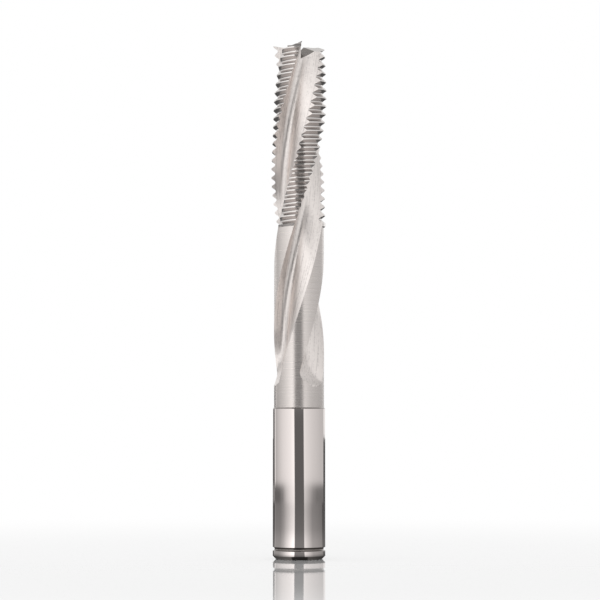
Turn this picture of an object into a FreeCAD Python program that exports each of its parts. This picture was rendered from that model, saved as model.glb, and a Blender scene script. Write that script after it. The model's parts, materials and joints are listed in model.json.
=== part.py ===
import FreeCAD, Part

import math
import os

from FreeCAD import Placement, Rotation, Vector

# Spiral roughing bit, ground from one carbide rod and standing on its shank end.
# The tool axis is +Z, the base of the shank is z = 0 and the tip points up.
# All sizes are in millimetres and degrees. Bearings count from +X, rising towards +Y.

# Lengths along the axis
overall_length = 158.0
shank_length = 46.0
serrated_length = 56.0
flute_end_height = 52.6

# Diameters of the rod
shank_diameter = 16.0
neck_diameter = 15.3
cutting_diameter = 17.0
core_diameter = 6.8

# Shank end: chamfer, then a collar and a narrow ring groove
base_chamfer = 1.0
collar_height = 2.6
ring_groove_width = 1.1
ring_groove_depth = 0.55

# Teeth
tooth_count = 3
helix_angle = 20.0
first_edge_bearing = -81.0
land_angle = 44.0
land_relief = 0.63
hook_angle = 10.0
gullet_radius = 2.1
flute_back_radius = 12.0
grinding_wheel_radius = 25.0
run_out_bearing = 48.0

# Serration of the lands: one thread that runs round all of them
serration_pitch = 2.58
serration_depth = 1.1
serration_root_width = 0.48
serration_flank_angle = 38.5
front_bearing = -90.0
first_crest_below_tip = 2.0

# End teeth: each end edge falls to the centre, its face falls behind it, and a gash opens it
end_dish_angle = 6.0
end_relief_angle = 20.0
gash_depth_at_axis = 2.3
gash_fall_angle = 38.0
gash_rise_angle = 30.0

# How far cutting tools reach past the material that they remove
overshoot = 3.0
clear_angle = 8.0
groove_tail_angle = 30.0

# How finely the lofts follow the helix, and into how many strips the round flanks are split
section_spacing = 3.0
gullet_strips = 5
back_strips = 3

shank_radius = shank_diameter / 2
neck_radius = neck_diameter / 2
cutting_radius = cutting_diameter / 2
core_radius = core_diameter / 2
tooth_angle = 360.0 / tooth_count
heel_angle = tooth_angle - land_angle
heel_radius = cutting_radius - land_relief
serration_start = overall_length - serrated_length
lead = math.pi * cutting_diameter / math.tan(math.radians(helix_angle))
twist_per_mm = 360.0 / lead
tool_radius = cutting_radius + overshoot

# The relieved land is an arc whose centre lies beside the axis, ahead of the cutting edge
relief_offset = (cutting_radius ** 2 - heel_radius ** 2) / (
    2 * heel_radius * math.sin(math.radians(land_angle)))
relief_radius = math.hypot(cutting_radius, relief_offset)


def polar(radius, bearing, z=0.0):
    """Give the point at a radius, a bearing and a height."""
    angle = math.radians(bearing)
    return Vector(radius * math.cos(angle), radius * math.sin(angle), z)


def turned(shape, bearing, z=0.0):
    """Turn a shape about the axis and lift it."""
    return shape.transformed(
        Placement(Vector(0, 0, z), Rotation(Vector(0, 0, 1), bearing)).toMatrix(), True)


def edge_bearing(z, tooth):
    """Give the bearing of a tooth's cutting edge at a height."""
    return first_edge_bearing + tooth * tooth_angle - (overall_length - z) * twist_per_mm


def curve(poles):
    """Make a smooth edge from its control points."""
    bezier = Part.BezierCurve()
    bezier.setPoles(poles)
    return bezier.toShape()


def arc_curves(centre, start, end, pieces):
    """Make an arc about a centre, less than half a turn, as equal smooth edges."""
    spoke = start - centre
    target = end - centre
    sweep = math.degrees(spoke.getAngle(target))
    side = 1 if spoke.cross(target).z > 0 else -1
    step = side * sweep / pieces
    pull = 4 / 3 * math.tan(math.radians(step) / 4)
    edges = []
    for index in range(pieces):
        after = Rotation(Vector(0, 0, 1), step).multVec(spoke)
        poles = [
            centre + spoke,
            centre + spoke + Vector(-spoke.y, spoke.x, 0) * pull,
            centre + after - Vector(-after.y, after.x, 0) * pull,
            centre + after,
        ]
        edges.append(curve(poles))
        spoke = after
    return edges


def rod():
    """Turn the rod: shank with chamfer and ring groove, waisted neck and the larger cutting length."""
    groove_floor = shank_radius - ring_groove_depth
    step = shank_radius - neck_radius
    rod_radius = cutting_radius + overshoot / 10
    neck_end = serration_start - (cutting_radius - neck_radius)
    outline = [
        Vector(0, 0, 0),
        Vector(shank_radius - base_chamfer, 0, 0),
        Vector(shank_radius, 0, base_chamfer),
        Vector(shank_radius, 0, collar_height),
        Vector(groove_floor, 0, collar_height + ring_groove_depth / 2),
        Vector(groove_floor, 0, collar_height + ring_groove_width - ring_groove_depth / 2),
        Vector(shank_radius, 0, collar_height + ring_groove_width),
        Vector(shank_radius, 0, shank_length - step),
        Vector(neck_radius, 0, shank_length),
        Vector(neck_radius, 0, neck_end),
        Vector(rod_radius, 0, neck_end + rod_radius - neck_radius),
        Vector(rod_radius, 0, overall_length),
        Vector(0, 0, overall_length),
    ]
    face = Part.Face(Part.makePolygon(outline + outline[:1]))
    return face.revolve(Vector(0, 0, 0), Vector(0, 0, 1), 360)


# Directions of the rake face in the section of a tooth whose edge lies on +X
rake_inward = Vector(-math.cos(math.radians(hook_angle)), -math.sin(math.radians(hook_angle)), 0)
rake_ahead = Vector(-math.sin(math.radians(hook_angle)), math.cos(math.radians(hook_angle)), 0)
edge_point = Vector(cutting_radius, 0, 0)
heel_point = polar(heel_radius, heel_angle)


def gullet_centre():
    """Place the gullet arc so that it touches the rake line and the core circle."""
    foot = edge_point + rake_ahead * gullet_radius
    along = foot.dot(rake_inward)
    reach = core_radius + gullet_radius
    root = math.sqrt(max(along ** 2 - foot.dot(foot) + reach ** 2, 0.0))
    return foot + rake_inward * (-along - root)


def tooth_edges():
    """Draw rake, gullet, flute back and relief of the tooth whose edge lies on +X."""
    centre = gullet_centre()
    rake_end = centre - rake_ahead * gullet_radius
    to_heel = heel_point - centre
    across = Vector(-to_heel.y, to_heel.x, 0)
    across.normalize()
    span = to_heel.Length
    reach = gullet_radius + flute_back_radius
    forward = (span ** 2 + reach ** 2 - flute_back_radius ** 2) / (2 * span)
    aside = math.sqrt(max(reach ** 2 - forward ** 2, 0.0))
    back_centre = centre + to_heel * (forward / span) + across * aside
    back_start = centre + (back_centre - centre) * (gullet_radius / reach)
    next_relief_centre = polar(relief_offset, tooth_angle + 90)
    next_edge = polar(cutting_radius, tooth_angle)
    return (
        [curve([edge_point, rake_end])]
        + arc_curves(centre, rake_end, back_start, gullet_strips)
        + arc_curves(back_centre, back_start, heel_point, back_strips)
        + arc_curves(next_relief_centre, heel_point, next_edge, 1)
    )


def toothed_core(bottom, top):
    """Loft the twisted section of all the teeth at full depth."""
    count = math.ceil((top - bottom) / section_spacing)
    section = []
    for tooth in range(tooth_count):
        section.extend(turned(edge, tooth * tooth_angle) for edge in tooth_edges())
    wires = []
    for index in range(count + 1):
        z = bottom + (top - bottom) * index / count
        wires.append(Part.Wire([turned(edge, edge_bearing(z, 0), z) for edge in section]))
    return Part.makeLoft(wires, True, False)


def run_out_core(bottom):
    """Loft the core that the flute floors climb over: a twisted triangle that widens downwards.

    Each of its flat sides lifts on the arc of the grinding wheel until it leaves the neck.
    """
    slant = math.cos(math.radians(helix_angle))
    toward = polar(1.0, run_out_bearing)
    lowest = gullet_centre().dot(toward) - gullet_radius
    climb = neck_radius - lowest
    run_out = slant * math.sqrt(grinding_wheel_radius ** 2 - (grinding_wheel_radius - climb) ** 2)
    full_height = flute_end_height + run_out
    count = math.ceil((full_height - bottom) / section_spacing)
    wires = []
    for index in range(count + 1):
        z = bottom + (full_height - bottom) * index / count
        travel = (full_height - z) / slant
        lift = grinding_wheel_radius - math.sqrt(grinding_wheel_radius ** 2 - travel ** 2)
        corner_radius = (lowest + lift) / math.cos(math.radians(tooth_angle / 2))
        corners = [polar(corner_radius, run_out_bearing + (side + 0.5) * tooth_angle)
                   for side in range(tooth_count)]
        sides = [curve([corners[side - 1], corners[side]]) for side in range(tooth_count)]
        wires.append(turned(Part.Wire(sides), edge_bearing(z, 0), z))
    return Part.makeLoft(wires, True, False)


def flute_tool():
    """Make the ring of material that grinding the flutes and the land relief takes away."""
    bottom = flute_end_height - section_spacing / 4
    top = overall_length + overshoot
    below = bottom - section_spacing / 4
    toothed = toothed_core(below, top + section_spacing / 4)
    sleeve = Part.makeCylinder(tool_radius, top - bottom, Vector(0, 0, bottom))
    return sleeve.cut([toothed, run_out_core(below)])


def serration_tool():
    """Make one serration groove across a land whose edge lies on +X: a flat-bottomed V round the relief."""
    slope = math.tan(math.radians(serration_flank_angle))
    root = relief_radius - serration_depth
    outside = relief_radius + serration_depth / 2
    root_half = serration_root_width / 2
    mouth_half = root_half + (outside - root) * slope
    corners = [
        Vector(outside, 0, -mouth_half),
        Vector(root, 0, -root_half),
        Vector(root, 0, root_half),
        Vector(outside, 0, mouth_half),
    ]
    face = Part.Face(Part.makePolygon(corners + corners[:1]))
    behind = land_angle + groove_tail_angle
    face.rotate(Vector(0, 0, 0), Vector(0, 0, 1), -behind)
    groove = face.revolve(Vector(0, 0, 0), Vector(0, 0, 1), behind + clear_angle)
    groove.translate(Vector(0, relief_offset, 0))
    thread_angle = math.degrees(math.atan2(serration_pitch, 2 * math.pi * cutting_radius))
    groove.rotate(Vector(0, 0, 0), polar(1.0, -land_angle / 2), thread_angle)
    return groove


def serration_tools():
    """Set the grooves along every land, so that together they follow one thread."""
    groove = serration_tool()
    pitch_on_land = serration_pitch / (1 - serration_pitch / lead)
    tools = []
    for tooth in range(tooth_count):
        middle_at_tip = edge_bearing(overall_length, tooth) - land_angle / 2
        phase = (middle_at_tip - front_bearing) / 360.0 * serration_pitch
        first_below_tip = first_crest_below_tip - serration_pitch / 2 - phase
        first_below_tip /= 1 - serration_pitch / lead
        while first_below_tip > -serration_pitch / 2:
            first_below_tip -= pitch_on_land
        z = overall_length - first_below_tip
        while z > serration_start:
            tools.append(turned(groove, edge_bearing(z, tooth), z))
            z -= pitch_on_land
    return tools


def block_above(outline, plane_height):
    """Raise a block from a sloping plane to above the tip over an outline of points in plan."""
    top = overall_length + 2 * overshoot
    low = [Vector(p.x, p.y, plane_height(p.x, p.y)) for p in outline]
    high = [Vector(p.x, p.y, top) for p in outline]
    loops = [low, high]
    for index in range(len(outline)):
        loops.append([low[index - 1], low[index], high[index], high[index - 1]])
    faces = [Part.Face(Part.makePolygon(loop + loop[:1])) for loop in loops]
    return Part.makeSolid(Part.makeShell(faces))


def end_tools():
    """Make the tools that grind the end: a sloping relief behind each end edge and a gash before it."""
    dish = math.tan(math.radians(end_dish_angle))
    relief = math.tan(math.radians(end_relief_angle))
    fall = math.tan(math.radians(gash_fall_angle))
    rise = math.tan(math.radians(gash_rise_angle))

    def relief_height(x, y):
        return overall_length - (cutting_radius - x) * dish + y * relief

    def gash_height(x, y):
        return overall_length - gash_depth_at_axis - x * fall + y * rise

    reach = 2 * tool_radius
    relief_outline = [Vector(0, 0, 0)] + [polar(reach, -tooth_angle * share) for share in (1, 0.5, 0)]
    relief_block = block_above(relief_outline, relief_height)
    past = (overshoot + gash_depth_at_axis) / fall
    gash_outline = [Vector(-past, 0, 0), Vector(reach, 0, 0), Vector(reach, (reach + past) * fall / rise, 0)]
    gash_block = block_above(gash_outline, gash_height)
    tools = []
    for tooth in range(tooth_count):
        bearing = edge_bearing(overall_length, tooth)
        tools.append(turned(relief_block, bearing))
        tools.append(turned(gash_block, bearing))
    return tools


def router_bit():
    """Cut the flutes, the serration and the end teeth out of the rod."""
    bit = rod().cut(flute_tool())
    bit = bit.cut(serration_tools())
    bit = bit.cut(end_tools())
    return bit.Solids[0]


os.makedirs("parts", exist_ok=True)
router_bit().exportStep("parts/router_bit.step")
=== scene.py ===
"""A serrated spiral router bit, ground from one carbide rod, stands in a white studio."""
import cmath
import json
import logging
import math
from dataclasses import dataclass
from enum import Enum
from functools import cached_property, lru_cache
from typing import Any, Callable, Sequence

import bmesh
import bpy
from mathutils import Matrix, Vector


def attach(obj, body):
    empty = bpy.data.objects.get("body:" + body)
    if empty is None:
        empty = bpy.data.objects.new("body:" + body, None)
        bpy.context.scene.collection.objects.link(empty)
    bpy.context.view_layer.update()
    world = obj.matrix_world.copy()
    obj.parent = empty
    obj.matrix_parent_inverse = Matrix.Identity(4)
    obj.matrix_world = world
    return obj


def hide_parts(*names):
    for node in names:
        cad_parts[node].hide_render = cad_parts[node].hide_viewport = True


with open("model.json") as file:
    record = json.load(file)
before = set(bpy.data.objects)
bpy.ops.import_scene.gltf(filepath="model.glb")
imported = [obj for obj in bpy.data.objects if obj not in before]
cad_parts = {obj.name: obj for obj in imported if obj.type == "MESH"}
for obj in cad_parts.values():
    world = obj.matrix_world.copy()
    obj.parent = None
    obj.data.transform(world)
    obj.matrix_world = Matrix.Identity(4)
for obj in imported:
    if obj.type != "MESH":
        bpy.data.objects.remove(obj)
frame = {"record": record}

LOG = logging.getLogger("router_bit")
MM = 0.001
NODE = "router_bit"
SEARCH_STEPS = 26           # halvings, which narrow a search to a ten-millionth of its range
WELD_DISTANCE = 0.0005      # millimetres within which doubled corners are merged
PLANE_SLACK = 1e-8          # metres within which a corner lies on the plane that cuts there
LEVEL_SLACK = 1e-7          # metres within which a corner lies at a height
STATION_DIGITS = 4          # decimals that tell two stations of the sweep apart
STATION_SLACK = 0.001       # shares within which a corner lies at the end of a flute
DOWNWARD = -0.9             # upright part of the normal of a face that looks down
QUARTER_TURN = 0.25         # turns a highlight from round the rod to along it


class Zone(Enum):
    """The differently finished surfaces of the bit, numbered as material slots of its mesh."""

    SHANK = 0
    NECK = 1
    FLUTE = 2
    LAND = 3
    END = 4
    RECESS = 5
    FLANK = 6


@dataclass(frozen=True)
class BitSizes:
    """Sizes of the bit in millimetres and degrees. The shank's radius comes from the frame.

    The bearings of the first edge, at the tip, and of the front are counted from +X, and that of
    the run-out from the cutting edge of its flute. The front is where the first crest's distance
    below the tip is given.
    """

    shank_radius: float
    overall_length: float = 158.0
    shank_length: float = 46.0
    serrated_length: float = 56.0
    flute_end_height: float = 52.6
    neck_radius: float = 7.65
    cutting_radius: float = 8.5
    core_radius: float = 3.4
    base_chamfer: float = 1.0
    collar_height: float = 2.6
    ring_groove_width: float = 1.1
    ring_groove_depth: float = 0.55
    tooth_count: int = 3
    helix_angle: float = 20.0
    first_edge_bearing: float = -81.0
    land_angle: float = 44.0
    land_relief: float = 0.63
    hook_angle: float = 10.0
    gullet_radius: float = 2.1
    flute_back_radius: float = 12.0
    grinding_wheel_radius: float = 25.0
    run_out_bearing: float = 48.0
    serration_pitch: float = 2.58
    crest_width: float = 0.36
    root_radius: float = 0.5
    flank_angle: float = 38.5
    front_bearing: float = -90.0
    first_crest_below_tip: float = 2.0
    end_dish_angle: float = 6.0
    end_relief_angle: float = 20.0
    gash_depth_at_axis: float = 2.3
    gash_fall_angle: float = 38.0
    gash_rise_angle: float = 30.0

    @property
    def tooth_angle(self) -> float:
        """Angle from one cutting edge to the next."""
        return 360.0 / self.tooth_count

    @property
    def heel_angle(self) -> float:
        """Angle that a flute spans, from its cutting edge to the heel of the next land."""
        return self.tooth_angle - self.land_angle

    @property
    def lead(self) -> float:
        """Height in which the flutes make one turn."""
        return 2 * math.pi * self.cutting_radius / math.tan(math.radians(self.helix_angle))

    @property
    def serration_start(self) -> float:
        """Height at which the serrated length begins."""
        return self.overall_length - self.serrated_length

    @property
    def neck_end(self) -> float:
        """Height at which the neck meets the shoulder of the cutting length."""
        return self.serration_start - (self.cutting_radius - self.neck_radius)

    def edge_bearing(self, z: float) -> float:
        """Bearing of the first cutting edge at a height.

        Args:
            z: Height above the base.

        Returns:
            The bearing in degrees, counted from +X.
        """
        return self.first_edge_bearing - (self.overall_length - z) * 360.0 / self.lead

    def rod_radius(self, z: float) -> float:
        """Radius of the turned rod at a height on the neck or above it.

        Args:
            z: Height above the base.

        Returns:
            The neck's radius, or more on the shoulder and above.
        """
        return self.neck_radius + max(0.0, z - self.neck_end)


def turn(bearing: float) -> complex:
    """Unit vector at a bearing in degrees, as a complex number."""
    return cmath.rect(1.0, math.radians(bearing))


def zero_between(value: Callable[[float], float], below: float, above: float) -> float:
    """Find where a rising function passes zero.

    Args:
        value: The function.
        below: A place where it is below zero, or as near as the search may go.
        above: A place where it is above zero.

    Returns:
        The place where it is zero.
    """
    for _ in range(SEARCH_STEPS):
        middle = (below + above) / 2
        if value(middle) > 0:
            above = middle
        else:
            below = middle
    return (below + above) / 2


class FluteSection:
    """The outline of one flute square to the axis, with the cutting edge at bearing 0.

    Points are complex numbers in millimetres. The outline is the straight rake face, the gullet's
    arc and the slightly crowned back, up to the heel of the next land.
    """

    middle_range = (0.1, 0.9)

    def __init__(self, sizes: BitSizes) -> None:
        """Place the arcs of the outline.

        Args:
            sizes: The bit's sizes.
        """
        self.sizes = sizes
        self.edge = complex(sizes.cutting_radius, 0.0)
        self.inward = -turn(sizes.hook_angle)
        heel_radius = sizes.cutting_radius - sizes.land_relief
        self.heel = heel_radius * turn(sizes.heel_angle)
        offset = (sizes.cutting_radius ** 2 - heel_radius ** 2) / (
            2 * heel_radius * math.sin(math.radians(sizes.land_angle)))
        self.relief_centre = complex(0.0, offset)
        self.relief_radius = abs(self.edge - self.relief_centre)
        ahead = turn(sizes.hook_angle + 90.0)
        reach = sizes.core_radius + sizes.gullet_radius
        foot = self.edge + ahead * sizes.gullet_radius
        self.rake_length = zero_between(
            lambda run: reach - abs(foot + self.inward * run),
            0.0, sizes.cutting_radius - sizes.core_radius)
        self.gullet_centre = foot + self.inward * self.rake_length
        to_heel = self.heel - self.gullet_centre
        away = abs(to_heel)
        joined = sizes.gullet_radius + sizes.flute_back_radius
        forward = (away ** 2 + joined ** 2 - sizes.flute_back_radius ** 2) / (2 * away)
        aside = math.sqrt(joined ** 2 - forward ** 2)
        self.back_centre = self.gullet_centre + to_heel / away * complex(forward, aside)
        self.gullet_start = cmath.phase(-ahead)
        gullet_end = cmath.phase(self.back_centre - self.gullet_centre)
        self.gullet_sweep = (gullet_end - self.gullet_start) % (-2 * math.pi)
        self.back_start = cmath.phase(self.gullet_centre - self.back_centre)
        back_end = cmath.phase(self.heel - self.back_centre)
        self.back_sweep = (back_end - self.back_start) % (2 * math.pi)
        self.gullet_length = -self.gullet_sweep * sizes.gullet_radius
        self.back_length = self.back_sweep * sizes.flute_back_radius
        self.length = self.rake_length + self.gullet_length + self.back_length
        toward = turn(sizes.run_out_bearing)
        self.middle = zero_between(
            lambda share: (self.point(share) * toward.conjugate()).imag, *self.middle_range)

    def point(self, share: float) -> complex:
        """Give a point of the outline.

        Args:
            share: Share of the outline's length, from the edge at 0 to the heel at 1.

        Returns:
            The point.
        """
        run = share * self.length
        if run <= self.rake_length:
            return self.edge + self.inward * run
        run -= self.rake_length
        if run <= self.gullet_length:
            angle = self.gullet_start + self.gullet_sweep * run / self.gullet_length
            return self.gullet_centre + cmath.rect(self.sizes.gullet_radius, angle)
        run -= self.gullet_length
        angle = self.back_start + self.back_sweep * run / self.back_length
        return self.back_centre + cmath.rect(self.sizes.flute_back_radius, angle)


class Serration:
    """The thread-like serration: where its rows lie in one pitch and how deep each of them is."""

    def __init__(self, sizes: BitSizes, flank_steps: int = 2, root_steps: int = 6) -> None:
        """Work out the profile of one groove, from the middle of a crest to the middle of the next.

        Args:
            sizes: The bit's sizes.
            flank_steps: Rows along each straight flank.
            root_steps: Steps round the root.
        """
        flank = math.radians(sizes.flank_angle)
        pitch = sizes.serration_pitch
        mouth = (pitch - sizes.crest_width) / 2
        root_half = sizes.root_radius * math.cos(flank)
        flank_depth = (mouth - root_half) / math.tan(flank)
        self.depth = flank_depth + sizes.root_radius * (1 - math.sin(flank))
        falling = []
        for step in range(flank_steps):
            share = step / flank_steps
            falling.append((-mouth + (mouth - root_half) * share, flank_depth * share))
        for step in range(root_steps // 2):
            angle = (1 - 2 * step / root_steps) * (math.pi / 2 - flank)
            across = sizes.root_radius * math.sin(angle)
            rise = sizes.root_radius * (1 - math.cos(angle))
            falling.append((-across, self.depth - rise))
        rising = [(-across, depth) for across, depth in reversed(falling)]
        profile = falling + [(0.0, self.depth)] + rising
        self.phases = [0.5 + across / pitch for across, _ in profile]
        self.depths = [depth for _, depth in profile]
        self.rows = len(profile)


@dataclass(eq=False)
class GroundBit:
    """The whole bit as one closed mesh, swept, ground and turned as the real one is.

    Attributes:
        sizes: The bit's sizes.
        flute_steps: Steps across each flute.
        land_steps: Steps across each land.
        ring_groove_steps: Steps round the hollow of the ring groove.
        edge_break_steps: Steps round the broken edges of the turned part.
        join_height: Height in millimetres at which the sweep passes into the turned neck.
        end_height: Height in millimetres above which the end teeth are ground.
        overshoot: Millimetres by which the sweep and the cutters reach past what they shape.
        edge_break: Width in millimetres of the broken edges of the turned part.
        least_floor: Half the least width of a run-out's floor in millimetres.
        floor_reach: Share of the grinding wheel's radius that a run-out's floor follows.
        floor_blend: Millimetres of blend per millimetre of height at both ends of a run-out,
            which leave no crease where the flute passes into the floor.
        neck_slack: Millimetres by which a face of the turned neck may lie inside its radius.
        round_slack: Most difference of radius in millimetres within a face of a cylinder.
        recess_slope: Least upright part of the normal of the turned part's sloping faces.
        flank_slope: Least upright part of the normal of the serration's flanks.
        sharp_angle: Angle in degrees from which an edge is sharp.
    """

    sizes: BitSizes
    flute_steps: int = 32
    land_steps: int = 12
    ring_groove_steps: int = 8
    edge_break_steps: int = 2
    join_height: float = 50.6
    end_height: float = 149.0
    overshoot: float = 3.0
    edge_break: float = 0.07
    least_floor: float = 1.0
    floor_reach: float = 0.95
    floor_blend: float = 0.16
    neck_slack: float = 0.002
    round_slack: float = 0.012
    recess_slope: float = 0.05
    flank_slope: float = 0.4
    sharp_angle: float = 28.0

    def __post_init__(self) -> None:
        """Set up the sections and the thread that the sweep follows."""
        sizes = self.sizes
        self.flute = FluteSection(sizes)
        self.serration = Serration(sizes)
        thread_share = 1 - sizes.serration_pitch / sizes.lead
        self.pitch = sizes.serration_pitch / thread_share
        phase = (sizes.first_edge_bearing - sizes.front_bearing) / 360.0 * sizes.serration_pitch
        first_crest = (phase - sizes.first_crest_below_tip) / thread_share
        self.top_crest = sizes.overall_length + first_crest + 2 * self.pitch

    @cached_property
    def run_out(self) -> tuple[complex, float, float]:
        """Work out where the first flute's run-out lies.

        Returns:
            The direction of its floor, the floor's least distance from the axis and the height
            where it starts.
        """
        toward = turn(self.sizes.run_out_bearing)
        centre = self.flute.gullet_centre
        lowest = (centre * toward.conjugate()).real - self.sizes.gullet_radius
        wheel = self.sizes.grinding_wheel_radius
        climb = self.sizes.neck_radius - lowest
        travel = math.sqrt(wheel ** 2 - (wheel - climb) ** 2)
        run = travel * math.cos(math.radians(self.sizes.helix_angle))
        return toward, lowest, self.sizes.flute_end_height + run

    def floor_distance(self, z: float) -> float:
        """Give the distance from the axis of the flat floor that lifts a flute out of the neck.

        Args:
            z: Height above the base.

        Returns:
            The distance in millimetres, or 0 above the run-out.
        """
        _, lowest, start = self.run_out
        if z >= start:
            return 0.0
        wheel = self.sizes.grinding_wheel_radius
        travel = (start - z) / math.cos(math.radians(self.sizes.helix_angle))
        travel = min(travel, wheel * self.floor_reach)
        return lowest + wheel - math.sqrt(wheel ** 2 - travel ** 2)

    def height(self, bearing: float, row: int) -> float:
        """Give the height of a row of the sweep, which follows the thread round the bit.

        Args:
            bearing: Angle ahead of the first cutting edge.
            row: Row number, counted down from above the tip.

        Returns:
            The height above the base.
        """
        turns, step = divmod(row, self.serration.rows)
        return self.top_crest + self.pitch * (bearing / 360.0 - turns - self.serration.phases[step])

    @lru_cache(maxsize=None)
    def groove_depth(self, tooth: int, row: int) -> float:
        """Give how deep the serration is on one land at a row.

        Args:
            tooth: Number of the land's cutting edge.
            row: Row number.

        Returns:
            The depth in millimetres, which is 0 below the serrated length.
        """
        turns, step = divmod(row, self.serration.rows)
        bearing = tooth * self.sizes.tooth_angle - self.sizes.land_angle / 2
        middle = self.top_crest + self.pitch * (bearing / 360.0 - turns - 0.5)
        if middle < self.sizes.serration_start:
            return 0.0
        return self.serration.depths[step]

    @lru_cache(maxsize=None)
    def flute_limits(self, tooth: int, row: int) -> tuple[float, float]:
        """Find where a flute's outline meets the lands on both of its sides.

        Args:
            tooth: Number of the cutting edge that the flute lies ahead of.
            row: Row number.

        Returns:
            Shares of the outline's length at the edge and at the heel.
        """
        start_bearing = tooth * self.sizes.tooth_angle
        heel_bearing = start_bearing + self.sizes.heel_angle
        next_centre = self.flute.relief_centre * turn(self.sizes.tooth_angle)

        def outside(share: float, centre: complex, owner: int, bearing: float) -> float:
            """Tell how far a point of the outline lies outside the land and the rod.

            Args:
                share: Share of the outline's length.
                centre: Centre of the land's relief.
                owner: Number of the land's cutting edge.
                bearing: Angle ahead of the first cutting edge.

            Returns:
                The larger of the two distances, which is below zero inside both.
            """
            z = self.height(bearing, row)
            rod = self.sizes.rod_radius(z)
            point = self.lifted(self.flute.point(share), z, rod)
            land = self.flute.relief_radius - self.groove_depth(owner, row)
            return max(abs(point - centre) - land, abs(point) - rod)

        edge = zero_between(
            lambda share: -outside(share, self.flute.relief_centre, tooth, start_bearing),
            0.0, self.flute.middle)
        heel = zero_between(
            lambda share: outside(share, next_centre, tooth + 1, heel_bearing),
            self.flute.middle, 1.0)
        return edge, heel

    def lifted(self, point: complex, z: float, rod: float) -> complex:
        """Lift a point of the outline to the run-out floor where it lies below it.

        Args:
            point: The point, with the cutting edge at bearing 0.
            z: Its height above the base.
            rod: Radius of the rod at that height, which the floor stays just inside of.

        Returns:
            The lifted point.
        """
        toward, _, start = self.run_out
        floor = min(self.floor_distance(z), math.sqrt(rod ** 2 - self.least_floor ** 2))
        level = point * toward.conjugate()
        blend = self.floor_blend * max(min(start - z, z - self.sizes.flute_end_height), 0.0)
        risen = (level.real + floor + math.hypot(level.real - floor, blend)) / 2
        return complex(risen, level.imag) * toward

    def land_point(self, tooth: int, share: float, row: int, z: float) -> complex:
        """Give a point on the land between two flutes.

        Args:
            tooth: Number of the cutting edge behind the flute below the land's heel.
            share: Share of the way from the heel to the next cutting edge.
            row: Row number.
            z: Height of the point.

        Returns:
            The point, turned so that the edge with that number lies at bearing 0.
        """
        step = turn(self.sizes.tooth_angle)
        _, heel_share = self.flute_limits(tooth, row)
        edge_share, _ = self.flute_limits(tooth + 1, row)
        start = self.flute.point(heel_share) / step
        end = self.flute.point(edge_share)
        bearing = cmath.phase(start) + (cmath.phase(end) - cmath.phase(start)) * share
        ray = cmath.rect(1.0, bearing)
        radius = self.flute.relief_radius - self.groove_depth(tooth + 1, row)
        along = (self.flute.relief_centre * ray.conjugate()).real
        reach = along + math.sqrt(radius ** 2 - abs(self.flute.relief_centre) ** 2 + along ** 2)
        return min(reach, self.sizes.rod_radius(z)) * ray * step

    def flute_point(self, tooth: int, share: float, row: int, z: float) -> complex:
        """Give a point in a flute, lifted by the run-out floor and kept inside the rod.

        Args:
            tooth: Number of the cutting edge that the flute lies ahead of.
            share: Share of the way from the edge to the next heel.
            row: Row number.
            z: Height of the point.

        Returns:
            The point, turned so that the edge with that number lies at bearing 0.
        """
        edge, heel = self.flute_limits(tooth, row)
        rod = self.sizes.rod_radius(z)
        point = self.lifted(self.flute.point(edge + (heel - edge) * share), z, rod)
        if self.floor_distance(z) >= rod:
            point *= rod / abs(point)
        return point

    def place(self, station: float, row: int) -> Vector:
        """Give the place of one point of the sweep.

        Args:
            station: Twice the tooth's number, plus up to 1 along its flute and up to 2 along
                the next land.
            row: Row number.

        Returns:
            The place in metres.
        """
        tooth, share = divmod(station, 2.0)
        tooth = int(tooth)
        bearing = tooth * self.sizes.tooth_angle + self.sizes.heel_angle * min(share, 1.0)
        bearing += self.sizes.land_angle * max(share - 1.0, 0.0)
        z = self.height(bearing, row)
        if share <= 1.0:
            point = self.flute_point(tooth, share, row, z)
        else:
            point = self.land_point(tooth, share - 1.0, row, z)
        point *= turn(tooth * self.sizes.tooth_angle + self.sizes.edge_bearing(z))
        return Vector((point.real, point.imag, z)) * MM

    def stations(self) -> list[float]:
        """List the stations once round the bit.

        Returns:
            The stations, from the first cutting edge to itself.
        """
        found = []
        for tooth in range(self.sizes.tooth_count):
            flute, land = 2 * tooth, 2 * tooth + 1
            found += [flute + step / self.flute_steps for step in range(self.flute_steps)]
            found += [land + step / self.land_steps for step in range(self.land_steps)]
        return found + [2.0 * self.sizes.tooth_count]

    def sweep(self) -> bmesh.types.BMesh:
        """Sweep one turn of the thread down the bit, and grind flutes, lands and serration in.

        Returns:
            The swept mesh, open at both ends.
        """
        bm = bmesh.new()
        station_of = bm.verts.layers.float.new("station")
        stations = self.stations()
        verts = []
        for station in stations:
            vert = bm.verts.new(self.place(station, 0))
            vert[station_of] = station
            verts.append(vert)
        edges = [bm.edges.new(pair) for pair in zip(verts, verts[1:])]
        start_height = {round(vert[station_of], STATION_DIGITS): vert.co.z for vert in verts}
        lowest = self.join_height - self.overshoot - self.pitch
        rows = math.ceil((self.top_crest - lowest) / self.pitch) * self.serration.rows
        row_height = self.pitch / self.serration.rows
        bmesh.ops.spin(
            bm, geom=verts + edges, cent=(0, 0, 0), axis=(0, 0, 1), dvec=(0, 0, -row_height * MM),
            angle=-math.radians(rows * row_height * 360.0 / self.sizes.lead), steps=rows,
            use_duplicate=False)
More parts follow.
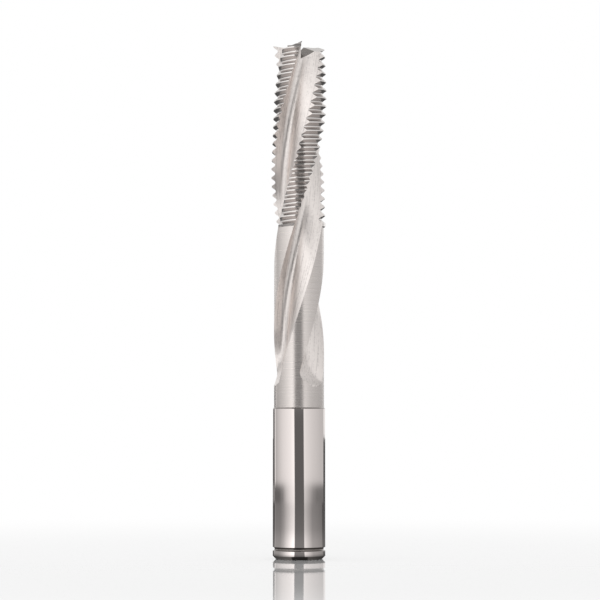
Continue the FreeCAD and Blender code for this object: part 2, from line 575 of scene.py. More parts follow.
        # The layer keeps seven digits, so each station goes back to a clean share. On a land this
        # moves a corner a little way along the land, and nowhere else.
        for vert in bm.verts:
            station = round(vert[station_of] * self.flute_steps) / self.flute_steps
            drop = start_height[round(vert[station_of], STATION_DIGITS)] - vert.co.z
            vert.co = self.place(station, round(drop / MM / row_height))
        for face in bm.faces:
            on_land = min(vert[station_of] for vert in face.verts) % 2.0 > 1.0 - STATION_SLACK
            corners = [vert.co / MM for vert in face.verts]
            face.material_index = self.zone(on_land, corners).value
        bmesh.ops.remove_doubles(bm, verts=bm.verts[:], dist=WELD_DISTANCE * MM)
        return bm

    def zone(self, on_land: bool, corners: list[Vector]) -> Zone:
        """Tell which finish a swept face has.

        Args:
            on_land: Whether the face lies between two flutes.
            corners: Its corners in millimetres.

        Returns:
            The finish.
        """
        middle = sum((corner.z for corner in corners), 0.0) / len(corners)
        if on_land:
            return Zone.LAND if middle > self.sizes.neck_end else Zone.NECK
        inside = self.sizes.neck_radius - self.neck_slack
        turned = all(math.hypot(corner.x, corner.y) > inside for corner in corners)
        return Zone.NECK if turned and middle < self.sizes.neck_end else Zone.FLUTE

    def part_off(self, bm: bmesh.types.BMesh) -> None:
        """Cut the sweep level at the tip and at the bottom of the neck.

        Args:
            bm: The swept mesh.
        """
        for height, side in ((self.sizes.overall_length, 1), (self.join_height, -1)):
            geom = bm.verts[:] + bm.edges[:] + bm.faces[:]
            bmesh.ops.bisect_plane(
                bm, geom=geom, dist=PLANE_SLACK, plane_co=(0, 0, height * MM),
                plane_no=(0, 0, side), clear_outer=True)

    def turned_profile(self) -> list[tuple[float, float]]:
        """List the corners of the turned part.

        Returns:
            Pairs of radius and height in millimetres, from the neck down to the base.
        """
        sizes = self.sizes
        shoulder = sizes.shank_radius - sizes.neck_radius
        profile = [
            (sizes.neck_radius, (self.join_height + sizes.shank_length) / 2),
            (sizes.neck_radius, sizes.shank_length),
            (sizes.shank_radius, sizes.shank_length - shoulder),
        ]
        middle = sizes.collar_height + sizes.ring_groove_width / 2
        for step in range(self.ring_groove_steps + 1):
            angle = math.pi * step / self.ring_groove_steps
            radius = sizes.shank_radius - sizes.ring_groove_depth * math.sin(angle)
            profile.append((radius, middle + sizes.ring_groove_width / 2 * math.cos(angle)))
        profile += [
            (sizes.shank_radius, sizes.base_chamfer),
            (sizes.shank_radius - sizes.base_chamfer, 0.0),
        ]
        return profile

    def turn_shank(self, bm: bmesh.types.BMesh) -> None:
        """Extrude the neck's lower rim down through step, shank, ring groove and chamfer.

        Args:
            bm: The mesh, open at the bottom of the neck.
        """
        rim = [edge for edge in bm.edges
               if edge.is_boundary and edge.verts[0].co.z < self.sizes.serration_start * MM]
        rings = []
        for radius, z in self.turned_profile():
            grown = bmesh.ops.extrude_edge_only(bm, edges=rim)["geom"]
            rim = [item for item in grown if isinstance(item, bmesh.types.BMEdge)]
            for vert in (item for item in grown if isinstance(item, bmesh.types.BMVert)):
                outward = vert.co.xy.normalized() * radius
                vert.co = Vector((outward.x, outward.y, z)) * MM
            rings.append(rim)
        bmesh.ops.holes_fill(bm, edges=rim, sides=0)
        for face in bm.faces:
            if face.calc_center_median().z < self.sizes.shank_length * MM:
                face.material_index = Zone.SHANK.value
            elif face.calc_center_median().z < self.join_height * MM:
                face.material_index = Zone.NECK.value
        bm.normal_update()
        for edge in [edge for rim in (*rings[1:-3], *rings[-2:]) for edge in rim]:
            for face in edge.link_faces:
                if abs(face.normal.z) > self.recess_slope:
                    face.material_index = Zone.RECESS.value
        broken = rings[1] + rings[2] + rings[3] + rings[-3] + rings[-2] + rings[-1]
        bmesh.ops.bevel(
            bm, geom=broken, offset=self.edge_break * MM, offset_type="OFFSET", affect="EDGES",
            segments=self.edge_break_steps, profile=0.5, material=-1, clamp_overlap=True)

    def cutter(self, outline: Sequence[complex], height: Callable[[complex], float],
               bearing: float) -> bpy.types.Object:
        """Make a block that reaches from a sloping plane to above the tip.

        Args:
            outline: Corners in plan, in millimetres.
            height: Height of the plane over a place in plan.
            bearing: Angle by which the block is turned about the axis.

        Returns:
            The block as an object.
        """
        bm = bmesh.new()
        verts = [bm.verts.new((place.real, place.imag, height(place))) for place in outline]
        face = bm.faces.new(verts)
        grown = bmesh.ops.extrude_face_region(bm, geom=[face])["geom"]
        for item in grown:
            if isinstance(item, bmesh.types.BMVert):
                item.co.z = self.sizes.overall_length + 2 * self.overshoot
        matrix = Matrix.Rotation(math.radians(bearing), 4, "Z") @ Matrix.Scale(MM, 4)
        bmesh.ops.transform(bm, matrix=matrix, verts=bm.verts[:])
        bmesh.ops.recalc_face_normals(bm, faces=bm.faces[:])
        for face in bm.faces:
            face.material_index = Zone.END.value
        mesh = bpy.data.meshes.new("end_cutter")
        bm.to_mesh(mesh)
        bm.free()
        return bpy.data.objects.new("end_cutter", mesh)

    def end_cutters(self) -> list[bpy.types.Object]:
        """Make the blocks that grind the end relief and the gashes of all the teeth.

        Returns:
            The blocks as objects.
        """
        sizes = self.sizes
        dish = math.tan(math.radians(sizes.end_dish_angle))
        relief = math.tan(math.radians(sizes.end_relief_angle))
        fall = math.tan(math.radians(sizes.gash_fall_angle))
        rise = math.tan(math.radians(sizes.gash_rise_angle))
        reach = 2 * (sizes.cutting_radius + self.overshoot)
        past = (self.overshoot + sizes.gash_depth_at_axis) / fall
        relief_outline = [0j]
        relief_outline += [reach * turn(-sizes.tooth_angle * share) for share in (1.0, 0.5, 0.0)]
        gash_outline = [
            complex(-past, 0), complex(reach, 0), complex(reach, (reach + past) * fall / rise)]

        def relief_height(place: complex) -> float:
            """Height of the end relief over a place in plan."""
            outer = sizes.overall_length - (sizes.cutting_radius - place.real) * dish
            return outer + place.imag * relief

        def gash_height(place: complex) -> float:
            """Height of the gash's floor over a place in plan."""
            at_axis = sizes.overall_length - sizes.gash_depth_at_axis
            return at_axis - place.real * fall + place.imag * rise

        found = []
        for tooth in range(sizes.tooth_count):
            bearing = sizes.edge_bearing(sizes.overall_length) + tooth * sizes.tooth_angle
            found.append(self.cutter(relief_outline, relief_height, bearing))
            found.append(self.cutter(gash_outline, gash_height, bearing))
        return found

    def grind_end(self, bm: bmesh.types.BMesh) -> None:
        """Grind the end teeth into the top of the bit.

        Args:
            bm: The bit with a level, open tip. It is kept below the end teeth and joined to them
                again.
        """
        tip = bm.copy()
        for part, side in ((bm, 1), (tip, -1)):
            bmesh.ops.bisect_plane(
                part, geom=part.verts[:] + part.edges[:] + part.faces[:], dist=PLANE_SLACK,
                plane_co=(0, 0, self.end_height * MM), plane_no=(0, 0, side), clear_outer=True)
        bmesh.ops.holes_fill(tip, edges=[edge for edge in tip.edges if edge.is_boundary], sides=0)
        bmesh.ops.recalc_face_normals(tip, faces=tip.faces[:])
        mesh = bpy.data.meshes.new("end_blank")
        tip.to_mesh(mesh)
        tip.free()
        blank = bpy.data.objects.new("end_blank", mesh)
        bpy.context.scene.collection.objects.link(blank)
        box = bpy.data.collections.new("end_cutters")
        bpy.context.scene.collection.children.link(box)
        cutters = self.end_cutters()
        for cutter in cutters:
            box.objects.link(cutter)
        modifier = blank.modifiers.new("end_grind", "BOOLEAN")
        modifier.operation = "DIFFERENCE"
        modifier.operand_type = "COLLECTION"
        modifier.collection = box
        modifier.solver = "EXACT"
        modifier.material_mode = "INDEX"
        graph = bpy.context.evaluated_depsgraph_get()
        ground = bpy.data.meshes.new_from_object(blank.evaluated_get(graph), depsgraph=graph)
        bm.from_mesh(ground)
        level = self.end_height * MM
        lid = [face for face in bm.faces if face.normal.z < DOWNWARD
               and all(abs(vert.co.z - level) < LEVEL_SLACK for vert in face.verts)]
        bmesh.ops.delete(bm, geom=lid, context="FACES_ONLY")
        rim = [vert for vert in bm.verts
               if vert.is_boundary and vert.co.z < level + 10 * LEVEL_SLACK]
        bmesh.ops.remove_doubles(bm, verts=rim, dist=WELD_DISTANCE * MM)
        bpy.data.meshes.remove(ground)
        for item in [*cutters, blank]:
            old = item.data
            bpy.data.objects.remove(item)
            bpy.data.meshes.remove(old)
        bpy.data.collections.remove(box)

    def true_normals(self, mesh: bpy.types.Mesh) -> None:
        """Give the turned surfaces a true cylinder's normals, so that they mirror without ripples.

        Args:
            mesh: The finished mesh.
        """
        normals = [corner.vector.copy() for corner in mesh.corner_normals]
        for face in mesh.polygons:
            places = [mesh.vertices[index].co for index in face.vertices]
            radii = [math.hypot(place.x, place.y) for place in places]
            turned = face.material_index in (Zone.NECK.value, Zone.SHANK.value)
            if turned and max(radii) - min(radii) < self.round_slack * MM:
                for loop, place in zip(face.loop_indices, places):
                    if place.x or place.y:
                        normals[loop] = Vector((place.x, place.y, 0.0)).normalized()
        mesh.normals_split_custom_set(normals)

    def build(self) -> bpy.types.Object:
        """Make the bit as one object.

        Returns:
            The object, without materials.
        """
        bm = self.sweep()
        LOG.info("swept %d faces", len(bm.faces))
        self.part_off(bm)
        self.grind_end(bm)
        LOG.info("the end teeth are ground")
        self.turn_shank(bm)
        bmesh.ops.recalc_face_normals(bm, faces=bm.faces[:])
        for face in bm.faces:
            if face.material_index == Zone.LAND.value and abs(face.normal.z) > self.flank_slope:
                face.material_index = Zone.FLANK.value
        for edge in bm.edges:
            if len({face.material_index for face in edge.link_faces}) > 1:
                edge.smooth = False
        open_edges = sum(1 for edge in bm.edges if not edge.is_manifold)
        mesh = bpy.data.meshes.new("ground_bit")
        bm.to_mesh(mesh)
        bm.free()
        mesh.polygons.foreach_set("use_smooth", [True] * len(mesh.polygons))
        sharp = [edge.use_edge_sharp for edge in mesh.edges]
        mesh.set_sharp_from_angle(angle=math.radians(self.sharp_angle))
        for edge, was in zip(mesh.edges, sharp):
            edge.use_edge_sharp = edge.use_edge_sharp or was
        self.true_normals(mesh)
        piece = bpy.data.objects.new("ground_bit", mesh)
        bpy.context.scene.collection.objects.link(piece)
        LOG.info("ground_bit has %d faces and %d open edges", len(mesh.polygons), open_edges)
        return piece

    def dress(self, piece: bpy.types.Object) -> None:
        """Give each zone of the bit its finish, in the order of the zones."""
        for zone in Zone:
            piece.data.materials.append(FINISHES[zone].make(self.sizes.lead))


def colour(code: str) -> tuple[float, float, float, float]:
    """Turn an sRGB hex colour to the linear values that Blender takes.

    Args:
        code: Six hex digits after a hash sign.

    Returns:
        Red, green, blue and an alpha of 1.
    """
    channels = [int(code[start:start + 2], 16) / 255.0 for start in (1, 3, 5)]
    linear = [c / 12.92 if c <= 0.04045 else ((c + 0.055) / 1.055) ** 2.4 for c in channels]
    return (linear[0], linear[1], linear[2], 1.0)


def add_node(tree: bpy.types.NodeTree, kind: str, settings: dict[str, Any] | None = None,
             inputs: dict[str | int, Any] | None = None) -> bpy.types.Node:
    """Add a node, with its settings and with values or links for its inputs.

    Args:
        tree: The node tree.
        kind: The node's type name.
        settings: Attributes of the node.
        inputs: A value, or another node's output, for each input named or numbered.

    Returns:
        The node.
    """
    node = tree.nodes.new(kind)
    for name, value in (settings or {}).items():
        setattr(node, name, value)
    for key, value in (inputs or {}).items():
        if isinstance(value, bpy.types.NodeSocket):
            tree.links.new(value, node.inputs[key])
        else:
            node.inputs[key].default_value = value
    return node


def ramp(tree: bpy.types.NodeTree, value: bpy.types.NodeSocket,
         stops: Sequence[tuple[float, float]], tint: str = "#FFFFFF") -> bpy.types.NodeSocket:
    """Turn a value into a level by straight lines between stops.

    Args:
        tree: The node tree.
        value: The value that is read.
        stops: Pairs of a value from 0 to 1 and a level.
        tint: Colour that the level is multiplied with.

    Returns:
        The level.
    """
    node = add_node(tree, "ShaderNodeValToRGB", None, {"Fac": value})
    elements = node.color_ramp.elements
    while len(elements) < len(stops):
        elements.new(0.5)
    for element, (at, _) in zip(elements, stops):
        element.position = at
    red, green, blue, _ = colour(tint)
    for element, (_, level) in zip(elements, stops):
        element.color = (red * level, green * level, blue * level, 1.0)
    return node.outputs["Color"]


def azimuth_of(tree: bpy.types.NodeTree, place: bpy.types.NodeSocket,
               turned: bpy.types.NodeSocket | float = 0.0) -> bpy.types.NodeSocket:
    """Give the azimuth of a place as a value from 0 to 1, which is 0.5 towards the camera's side.

    Args:
        tree: The node tree.
        place: The place.
        turned: Angle by which the place is turned first.

    Returns:
        The value, which grows to the right.
    """
    quarter = add_node(tree, "ShaderNodeMath", {"operation": "ADD"},
                       {0: turned, 1: math.radians(90.0)})
    facing = add_node(tree, "ShaderNodeVectorRotate", {"rotation_type": "Z_AXIS"},
                      {"Vector": place, "Angle": quarter.outputs[0]})
    azimuth = add_node(tree, "ShaderNodeTexGradient", {"gradient_type": "RADIAL"},
                       {"Vector": facing.outputs["Vector"]})
    return azimuth.outputs["Fac"]


class Marks(Enum):
    """The way in which a grinding wheel left its marks."""

    NONE = 0
    RINGS = 1
    LENGTHWISE = 2


@dataclass(frozen=True)
class CarbideFinish:
    """A ground finish of bare tungsten carbide: colour, gloss and the marks that the wheel leaves.

    Attributes:
        name: The material's name.
        tone: Colour of the metal.
        roughness: Roughness between the marks.
        anisotropy: How much the marks spread a highlight along the rod.
        marks: The way in which the marks run.
        spacing: Distance between two marks in millimetres.
        depth: Height of the marks in millimetres.
        unevenness: Most change of roughness by the marks.
        mottling: Height of the mottling, as a share of that of the marks.
        shading: Share by which the deepest places are darker.
        mark_detail: Octaves of finer marks between the marks.
        mark_length: Length of a lengthwise mark, in spacings.
        mark_range: Levels between which most of a mark's noise lies.
        spots_per_metre: Mottled spots in a metre, each some 0.8 mm wide.
        spot_detail: Octaves of finer spots.
        spot_roughness: How much the finer spots show.
        shade_range: Heights, from the middle one, between which the shading fades out.
    """

    name: str
    tone: str
    roughness: float
    anisotropy: float = 0.0
    marks: Marks = Marks.NONE
    spacing: float = 0.5
    depth: float = 0.0
    unevenness: float = 0.0
    mottling: float = 0.0
    shading: float = 0.0
    mark_detail: float = 3.0
    mark_length: float = 40.0
    mark_range: tuple[float, float] = (0.3, 0.7)
    spots_per_metre: float = 1300.0
    spot_detail: float = 5.0
    spot_roughness: float = 0.65
    shade_range: tuple[float, float] = (-0.3, 0.02)

    def make(self, lead: float) -> bpy.types.Material:
        """Make the material.

        Args:
            lead: Height in which the flutes make one turn, in millimetres.

        Returns:
            The material.
        """
        material = bpy.data.materials.new(self.name)
        material.use_nodes = True
        tree = material.node_tree
        shader = tree.nodes["Principled BSDF"]
        shader.inputs["Base Color"].default_value = colour(self.tone)
        shader.inputs["Metallic"].default_value = 1.0
        shader.inputs["Roughness"].default_value = self.roughness
        if self.anisotropy:
            around = add_node(tree, "ShaderNodeTangent", {"direction_type": "RADIAL", "axis": "Z"})
            shader.inputs["Anisotropic"].default_value = self.anisotropy
            shader.inputs["Anisotropic Rotation"].default_value = QUARTER_TURN
            tree.links.new(around.outputs[0], shader.inputs["Tangent"])
        if self.marks is not Marks.NONE:
            self.grind(tree, shader, lead)
        return material

    def grind(self, tree: bpy.types.NodeTree, shader: bpy.types.Node, lead: float) -> None:
        """Draw the wheel's marks into height and gloss, and painted shade into their hollows.

        Args:
            tree: The material's nodes.
            shader: Its shader.
            lead: Height in which the flutes make one turn, in millimetres.
        """
        place = add_node(tree, "ShaderNodeTexCoord").outputs["Object"]
        axes = add_node(tree, "ShaderNodeSeparateXYZ", None, {"Vector": place})
        across = 1.0 / (self.spacing * MM)
        if self.marks is Marks.RINGS:
            position = add_node(tree, "ShaderNodeMath", {"operation": "MULTIPLY"},
                                {0: axes.outputs["Z"], 1: across})
            marks = add_node(tree, "ShaderNodeTexNoise", {"noise_dimensions": "1D"},
                             {"W": position.outputs[0], "Scale": 1.0, "Detail": self.mark_detail})
        else:
            turn_back = add_node(tree, "ShaderNodeMath", {"operation": "MULTIPLY"},
                                 {0: axes.outputs["Z"], 1: -2 * math.pi / (lead * MM)})
            straight = add_node(tree, "ShaderNodeVectorRotate", {"rotation_type": "Z_AXIS"},
                                {"Vector": place, "Angle": turn_back.outputs[0]})
            stretch = (across, across, across / self.mark_length)
            stretched = add_node(tree, "ShaderNodeVectorMath", {"operation": "MULTIPLY"},
                                 {0: straight.outputs["Vector"], 1: stretch})
            marks = add_node(tree, "ShaderNodeTexNoise", None, {
                "Vector": stretched.outputs["Vector"], "Scale": 1.0, "Detail": self.mark_detail})
        relief = marks.outputs["Fac"]
        if self.mottling:
            spots = add_node(tree, "ShaderNodeTexNoise", None, {
                "Vector": place, "Scale": self.spots_per_metre, "Detail": self.spot_detail,
                "Roughness": self.spot_roughness})
            relief = add_node(tree, "ShaderNodeMath", {"operation": "MULTIPLY_ADD"},
                              {0: spots.outputs["Fac"], 1: self.mottling, 2: relief}).outputs[0]
        bump = add_node(tree, "ShaderNodeBump", None,
                        {"Height": relief, "Distance": self.depth * MM, "Strength": 1.0})
        tree.links.new(bump.outputs["Normal"], shader.inputs["Normal"])
        lowest, highest = self.mark_range
        gloss = add_node(tree, "ShaderNodeMapRange", None, {
            "Value": marks.outputs["Fac"], "From Min": lowest, "From Max": highest,
            "To Min": self.roughness - self.unevenness, "To Max": self.roughness + self.unevenness})
        tree.links.new(gloss.outputs["Result"], shader.inputs["Roughness"])
        # Painted shade: the base colour is darker where the relief is low, as if shade fell into
        # the hollows.
        if self.shading:
            middle = (1.0 + self.mottling) / 2
            deepest, faded = (middle + height for height in self.shade_range)
            tone = ramp(tree, relief, ((deepest, 1.0 - self.shading), (faded, 1.0)), self.tone)
            tree.links.new(tone, shader.inputs["Base Color"])


# The whole bit is one rod of sintered tungsten carbide, bare and of a warm light grey. The finishes
# differ in how each surface was ground, which decides how sharply it mirrors the studio and how
# dark it looks; the darker tones of the recesses, the flanks and the flutes' hollows are painted
# shade. A carbide wheel's own marks lie 0.02 to 0.1 mm apart, too fine for the render, so each
# spacing below is as coarse as the marks have to be to show.
FINISHES = {
    # Centreless ground and polished: a near mirror that shows the soft boxes and the gap between
    # them as crisp stripes, with no marks to be seen.
    Zone.SHANK: CarbideFinish("polished_carbide_shank", "#DED6D3", 0.05),
    # Ground round with a coarser wheel and left so: fine rings, 0.1 mm apart and drawn at 0.45 mm,
    # smear the stripes up and down the neck and soften their edges a little.
    Zone.NECK: CarbideFinish(
        "ring_ground_carbide_neck", "#DFD8D4", 0.3, anisotropy=0.85, marks=Marks.RINGS,
        spacing=0.45, depth=0.001, unevenness=0.05),
    # Ground in one deep pass by the flute wheel: satin and light, with marks that follow the helix,
    # 0.05 mm apart and drawn at 0.35 mm, and mottling where grains broke out; painted shade darkens
    # the hollows of marks and mottling by up to 35%.
    Zone.FLUTE: CarbideFinish(
        "wheel_ground_carbide_flutes", "#F2EBE7", 0.36, marks=Marks.LENGTHWISE,
        spacing=0.35, depth=0.018, unevenness=0.08, mottling=0.7, shading=0.35),
    # Form ground with the serration's wheel: bright crests and roots that glint as thin lines,
    # with rings 0.03 mm apart and drawn at 0.3 mm.
    Zone.LAND: CarbideFinish(
        "form_ground_carbide_lands", "#E4DFDC", 0.12, marks=Marks.RINGS,
        spacing=0.3, depth=0.001, unevenness=0.03),
    # Ground by a thin gashing wheel: plain darker facets at the tip, with marks 0.05 mm apart and
    # drawn at 0.3 mm.
    Zone.END: CarbideFinish(
        "gash_ground_carbide_end", "#B0AAA6", 0.25, marks=Marks.LENGTHWISE,
        spacing=0.3, depth=0.003, unevenness=0.04, mottling=0.5),
    # Cut in before the polish and never polished: dull step, ring groove and chamfer, given a dark
    # grey of painted shade, which draw thin dark lines round the bright shank.
    Zone.RECESS: CarbideFinish("unpolished_shaded_carbide_recess", "#8E8884", 0.3),
    # Ground by the sides of the serration's wheel: duller than the crests, and a little darker with
    # painted shade in the grooves, so that each groove reads as a dark line.
    Zone.FLANK: CarbideFinish("form_ground_shaded_carbide_flanks", "#CCC6C3", 0.2),
}


@dataclass(frozen=True)
class Field:
    """A light or dark field on a card: levels round the bit, times shares up the card.

    Azimuths are in degrees from the camera's direction, positive to the right, and heights in
    metres.
    """

    levels: tuple[tuple[float, float], ...]
    shares: tuple[tuple[float, float], ...] = ((0.0, 1.0), (1.0, 1.0))


def field_sum(tree: bpy.types.NodeTree, azimuth: bpy.types.NodeSocket, along: bpy.types.NodeSocket,
              fields: Sequence[Field]) -> bpy.types.NodeSocket:
    """Add up the levels of several fields.

    Args:
        tree: The node tree.
        azimuth: The azimuth as a value from 0 to 1.
        along: The height or distance that the shares follow, in metres.
        fields: The fields.

    Returns:
        The level.
    """
    total: bpy.types.NodeSocket | float = 0.0
    for field in fields:
        stops = [(0.5 + at / 360.0, grey) for at, grey in field.levels]
        level = ramp(tree, azimuth, stops)
        share = ramp(tree, along, field.shares)
        total = add_node(tree, "ShaderNodeMath", {"operation": "MULTIPLY_ADD"},
                         {0: level, 1: share, 2: total}).outputs[0]
    return total


@dataclass(frozen=True)
class Card:
    """A round card about the bit that only reflections see. Its fields add up.

    Attributes:
        name: The card's name.
        fields: Its light and dark fields.
        radius: Radius in metres of its lower rim.
        inner_radius: Radius in metres of its upper rim.
        bottom: Height in metres of its lower rim.
        top: Height in metres of its upper rim.
        lean: Degrees to the left by which its fields lean in each metre of height.
        steps: Steps round the card.
    """

    name: str
    fields: tuple[Field, ...]
    radius: float = 0.55
    inner_radius: float = 0.55
    bottom: float = 0.0
    top: float = 1.2
    lean: float = 0.0
    steps: int = 96

    def build(self) -> None:
        """Make the card and its glow."""
        bm = bmesh.new()
        azimuths = [azimuth for field in self.fields for azimuth, _ in field.levels]
        start, end = min(azimuths), max(azimuths)
        verts = [bm.verts.new((0.0, -self.radius, self.bottom)),
                 bm.verts.new((0.0, -self.inner_radius, self.top))]
        bmesh.ops.rotate(bm, verts=verts, cent=(0, 0, 0),
                         matrix=Matrix.Rotation(math.radians(start), 3, "Z"))
        edge = bm.edges.new(verts)
        bmesh.ops.spin(bm, geom=[*verts, edge], cent=(0, 0, 0), axis=(0, 0, 1),
                       angle=math.radians(end - start), steps=self.steps)
        mesh = bpy.data.meshes.new(self.name)
        bm.to_mesh(mesh)
        bm.free()
        mesh.materials.append(self.glow())
        piece = bpy.data.objects.new(self.name, mesh)
        bpy.context.scene.collection.objects.link(piece)
        piece.visible_camera = False
        piece.visible_diffuse = False
        piece.visible_shadow = False

    def glow(self) -> bpy.types.Material:
        """Make the glow, whose level follows the azimuth and the height.

        Returns:
            The material.
        """
        material = bpy.data.materials.new(self.name)
        material.use_nodes = True
        tree = material.node_tree
        tree.nodes.remove(tree.nodes["Principled BSDF"])
        place = add_node(tree, "ShaderNodeTexCoord").outputs["Object"]
        height = add_node(tree, "ShaderNodeSeparateXYZ", None, {"Vector": place}).outputs["Z"]
        angle = add_node(tree, "ShaderNodeMath", {"operation": "MULTIPLY"},
                         {0: height, 1: math.radians(self.lean)})
        azimuth = azimuth_of(tree, place, angle.outputs[0])
        glow = add_node(tree, "ShaderNodeEmission", None,
                        {"Strength": field_sum(tree, azimuth, height, self.fields)})
        tree.links.new(glow.outputs[0], tree.nodes["Material Output"].inputs["Surface"])
        return material


# Two tall soft boxes, left and right of the camera, brightest beside it, and a thin strip far left.
SOFT_BOXES = Field(
    ((-132.5, 0.0), (-131.5, 1.25), (-126.5, 1.25), (-125.0, 0.58), (-112.0, 0.64),
     (-73.0, 0.97), (-36.0, 1.18), (-18.8, 1.38), (-18.0, 0.0), (22.0, 0.0), (22.8, 1.1),
     (33.0, 0.99), (64.0, 0.84), (110.0, 0.69), (135.0, 0.65)),
    ((0.009, 0.0), (0.0115, 1.0), (0.6, 1.0), (0.8, 0.65)))
# Their dimmer feet just above the floor, which the collar and the foot of the shank mirror.
BOX_FEET = Field(
    ((-125.0, 0.16), (-95.0, 0.16), (-75.0, 0.3), (-55.0, 0.75), (-36.0, 1.05), (-18.8, 1.25),
     (-18.0, 0.0), (22.0, 0.0), (22.8, 0.85), (42.0, 0.6), (65.0, 0.32), (85.0, 0.22)),
    ((0.009, 1.0), (0.0115, 0.0)))
# The dark gap between the boxes, with the camera in it, and the top light above it.
LENS_GAP = Field(
    ((-18.8, 0.0), (-18.0, 1.0), (22.0, 1.0), (22.8, 0.0)),
    ((0.0, 0.15), (0.05, 0.15), (0.06, 0.36), (0.145, 0.36), (0.16, 0.19), (0.3, 0.19),
     (0.34, 1.2), (0.6, 1.2), (0.8, 0.8)))
# Past the strip, far left: a dark flag low down, which draws the shank's left outline, and light
# above it.
LEFT_FLAG = Field(
    ((-160.0, 1.0), (-132.5, 1.0), (-131.5, 0.0)),
    ((0.0, 0.15), (0.075, 0.15), (0.095, 0.8)))
CEILING = Field(((-180.0, 0.3), (180.0, 0.3)))
CARDS = (
    Card("soft_boxes", (SOFT_BOXES, BOX_FEET, LENS_GAP, LEFT_FLAG), lean=48.6),
    Card("ceiling_flag", (CEILING,), radius=0.8, inner_radius=0.001, bottom=1.2),
)
# What the metal sees of the floor: the boxes' light on it, which falls off with the distance.
FLOOR_IN_METAL = Field(
    ((-132.0, 0.15), (-131.0, 0.5), (-126.0, 0.5), (-125.0, 0.34), (-88.0, 0.36), (-70.0, 0.55),
     (-50.0, 0.95), (-30.0, 1.35), (-18.8, 1.5), (-18.0, 0.23), (22.0, 0.23), (22.8, 0.98),
     (42.0, 0.7), (60.0, 0.44), (120.0, 0.3), (124.0, 0.15)),
    ((0.0, 0.25), (0.022, 0.3), (0.04, 1.15), (0.12, 1.1), (0.22, 0.8), (0.4, 0.7)))


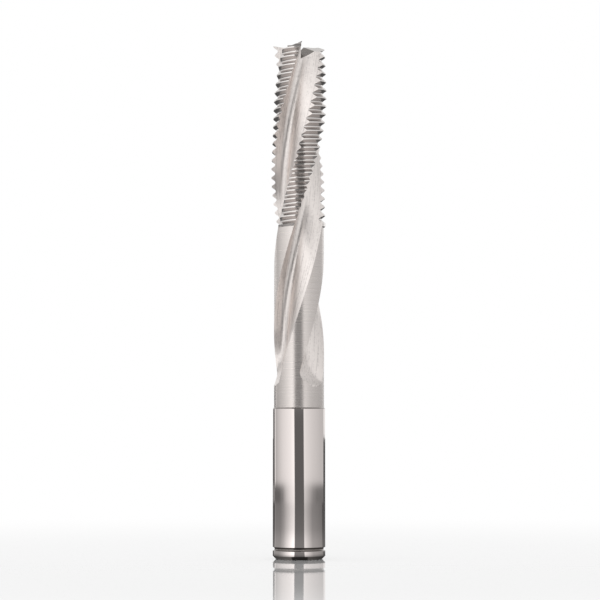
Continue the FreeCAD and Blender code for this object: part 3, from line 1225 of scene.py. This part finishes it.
@dataclass(frozen=True)
class Studio:
    """White studio: soft boxes left and right of the camera, dark flags, and a glossy pale floor.

    Lengths are in metres, except the lens and its sensor in millimetres.
    """

    camera_distance: float = 0.680
    camera_height: float = 0.0386
    camera_aside: float = 0.0003
    aim_height: float = 0.079
    lens: float = 133.3
    sensor: float = 36.0
    ambient: float = 0.9
    floor_half: float = 12.0
    floor_tone: str = "#E6E6E6"
    floor_roughness: float = 0.045
    floor_ior: float = 1.49
    fade_start: float = 0.1
    fade_end: float = 0.36

    def world(self) -> None:
        """Fill the surroundings with white, a little dimmer as a light than as a background."""
        world = bpy.data.worlds.new("white_studio")
        bpy.context.scene.world = world
        world.use_nodes = True
        tree = world.node_tree
        path = add_node(tree, "ShaderNodeLightPath")
        seen = add_node(tree, "ShaderNodeMath", {"operation": "MAXIMUM"},
                        {0: path.outputs["Is Camera Ray"], 1: path.outputs["Is Glossy Ray"]})
        seen = add_node(tree, "ShaderNodeMath", {"operation": "MAXIMUM"},
                        {0: seen.outputs[0], 1: path.outputs["Is Transmission Ray"]})
        level = add_node(tree, "ShaderNodeMapRange", None,
                         {"Value": seen.outputs[0], "To Min": self.ambient, "To Max": 1.0})
        background = tree.nodes["Background"]
        background.inputs["Color"].default_value = (1.0, 1.0, 1.0, 1.0)
        tree.links.new(level.outputs["Result"], background.inputs["Strength"])

    def floor(self) -> None:
        """Lay the pale glossy floor, which fades into the white background behind the bit."""
        bm = bmesh.new()
        bmesh.ops.create_grid(bm, x_segments=1, y_segments=1, size=self.floor_half)
        mesh = bpy.data.meshes.new("floor")
        bm.to_mesh(mesh)
        bm.free()
        piece = bpy.data.objects.new("floor", mesh)
        bpy.context.scene.collection.objects.link(piece)
        mesh.materials.append(self.acrylic())

    def acrylic(self) -> bpy.types.Material:
        """Make the floor of cast white acrylic sheet, with the polish it has from its glass mould.

        To the eye it is a pale, evenly lit ground with a clear, weak mirror image of the shank. It
        fades to the white of the background all round, and metal sees it as FLOOR_IN_METAL says.

        Returns:
            The material.
        """
        material = bpy.data.materials.new("white_acrylic_floor")
        material.use_nodes = True
        tree = material.node_tree
        shader = tree.nodes["Principled BSDF"]
        shader.inputs["Base Color"].default_value = colour(self.floor_tone)
        shader.inputs["Roughness"].default_value = self.floor_roughness
        shader.inputs["IOR"].default_value = self.floor_ior
        place = add_node(tree, "ShaderNodeTexCoord").outputs["Object"]
        away = add_node(tree, "ShaderNodeVectorMath", {"operation": "LENGTH"},
                        {0: place}).outputs["Value"]
        glow = field_sum(tree, azimuth_of(tree, place), away, (FLOOR_IN_METAL,))
        dim = add_node(tree, "ShaderNodeEmission", None, {"Strength": glow})
        far = add_node(tree, "ShaderNodeMapRange", {"interpolation_type": "SMOOTHSTEP"}, {
            "Value": away, "From Min": self.fade_start, "From Max": self.fade_end, "To Min": 0.0})
        white = add_node(tree, "ShaderNodeEmission")
        blend = add_node(tree, "ShaderNodeMixShader", None,
                         {0: far.outputs["Result"], 1: shader.outputs[0], 2: white.outputs[0]})
        path = add_node(tree, "ShaderNodeLightPath")
        seen = add_node(tree, "ShaderNodeMixShader", None,
                        {0: path.outputs["Is Camera Ray"], 1: dim.outputs[0], 2: blend.outputs[0]})
        tree.links.new(seen.outputs[0], tree.nodes["Material Output"].inputs["Surface"])
        return material

    def camera(self) -> None:
        """Set the camera where the photographer's was."""
        lens = bpy.data.cameras.new("camera")
        lens.lens = self.lens
        lens.sensor_width = self.sensor
        piece = bpy.data.objects.new("camera", lens)
        bpy.context.scene.collection.objects.link(piece)
        piece.location = (self.camera_aside, -self.camera_distance, self.camera_height)
        aim = Vector((self.camera_aside, 0.0, self.aim_height)) - piece.location
        piece.rotation_euler = aim.to_track_quat("-Z", "Y").to_euler()
        bpy.context.scene.camera = piece

    def build(self) -> None:
        """Set up camera, lights and surroundings."""
        bpy.context.scene.view_settings.view_transform = "Standard"
        self.world()
        self.floor()
        for card in CARDS:
            card.build()
        self.camera()


def main() -> None:
    """Build the bit, dress it and set up the studio."""
    logging.basicConfig(level=logging.INFO, format="%(name)s: %(message)s")
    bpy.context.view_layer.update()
    mounts = {mount["name"]: mount for mount in frame["record"]["mounts"]}
    sizes = BitSizes(shank_radius=mounts["shank"]["dims"]["r_mm"])
    bit = GroundBit(sizes)
    piece = bit.build()
    bit.dress(piece)
    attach(piece, "root")
    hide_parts(NODE)
    LOG.info("%s rides on root and stands for %s", piece.name, NODE)
    Studio().build()


if __name__ == "__main__":
    main()
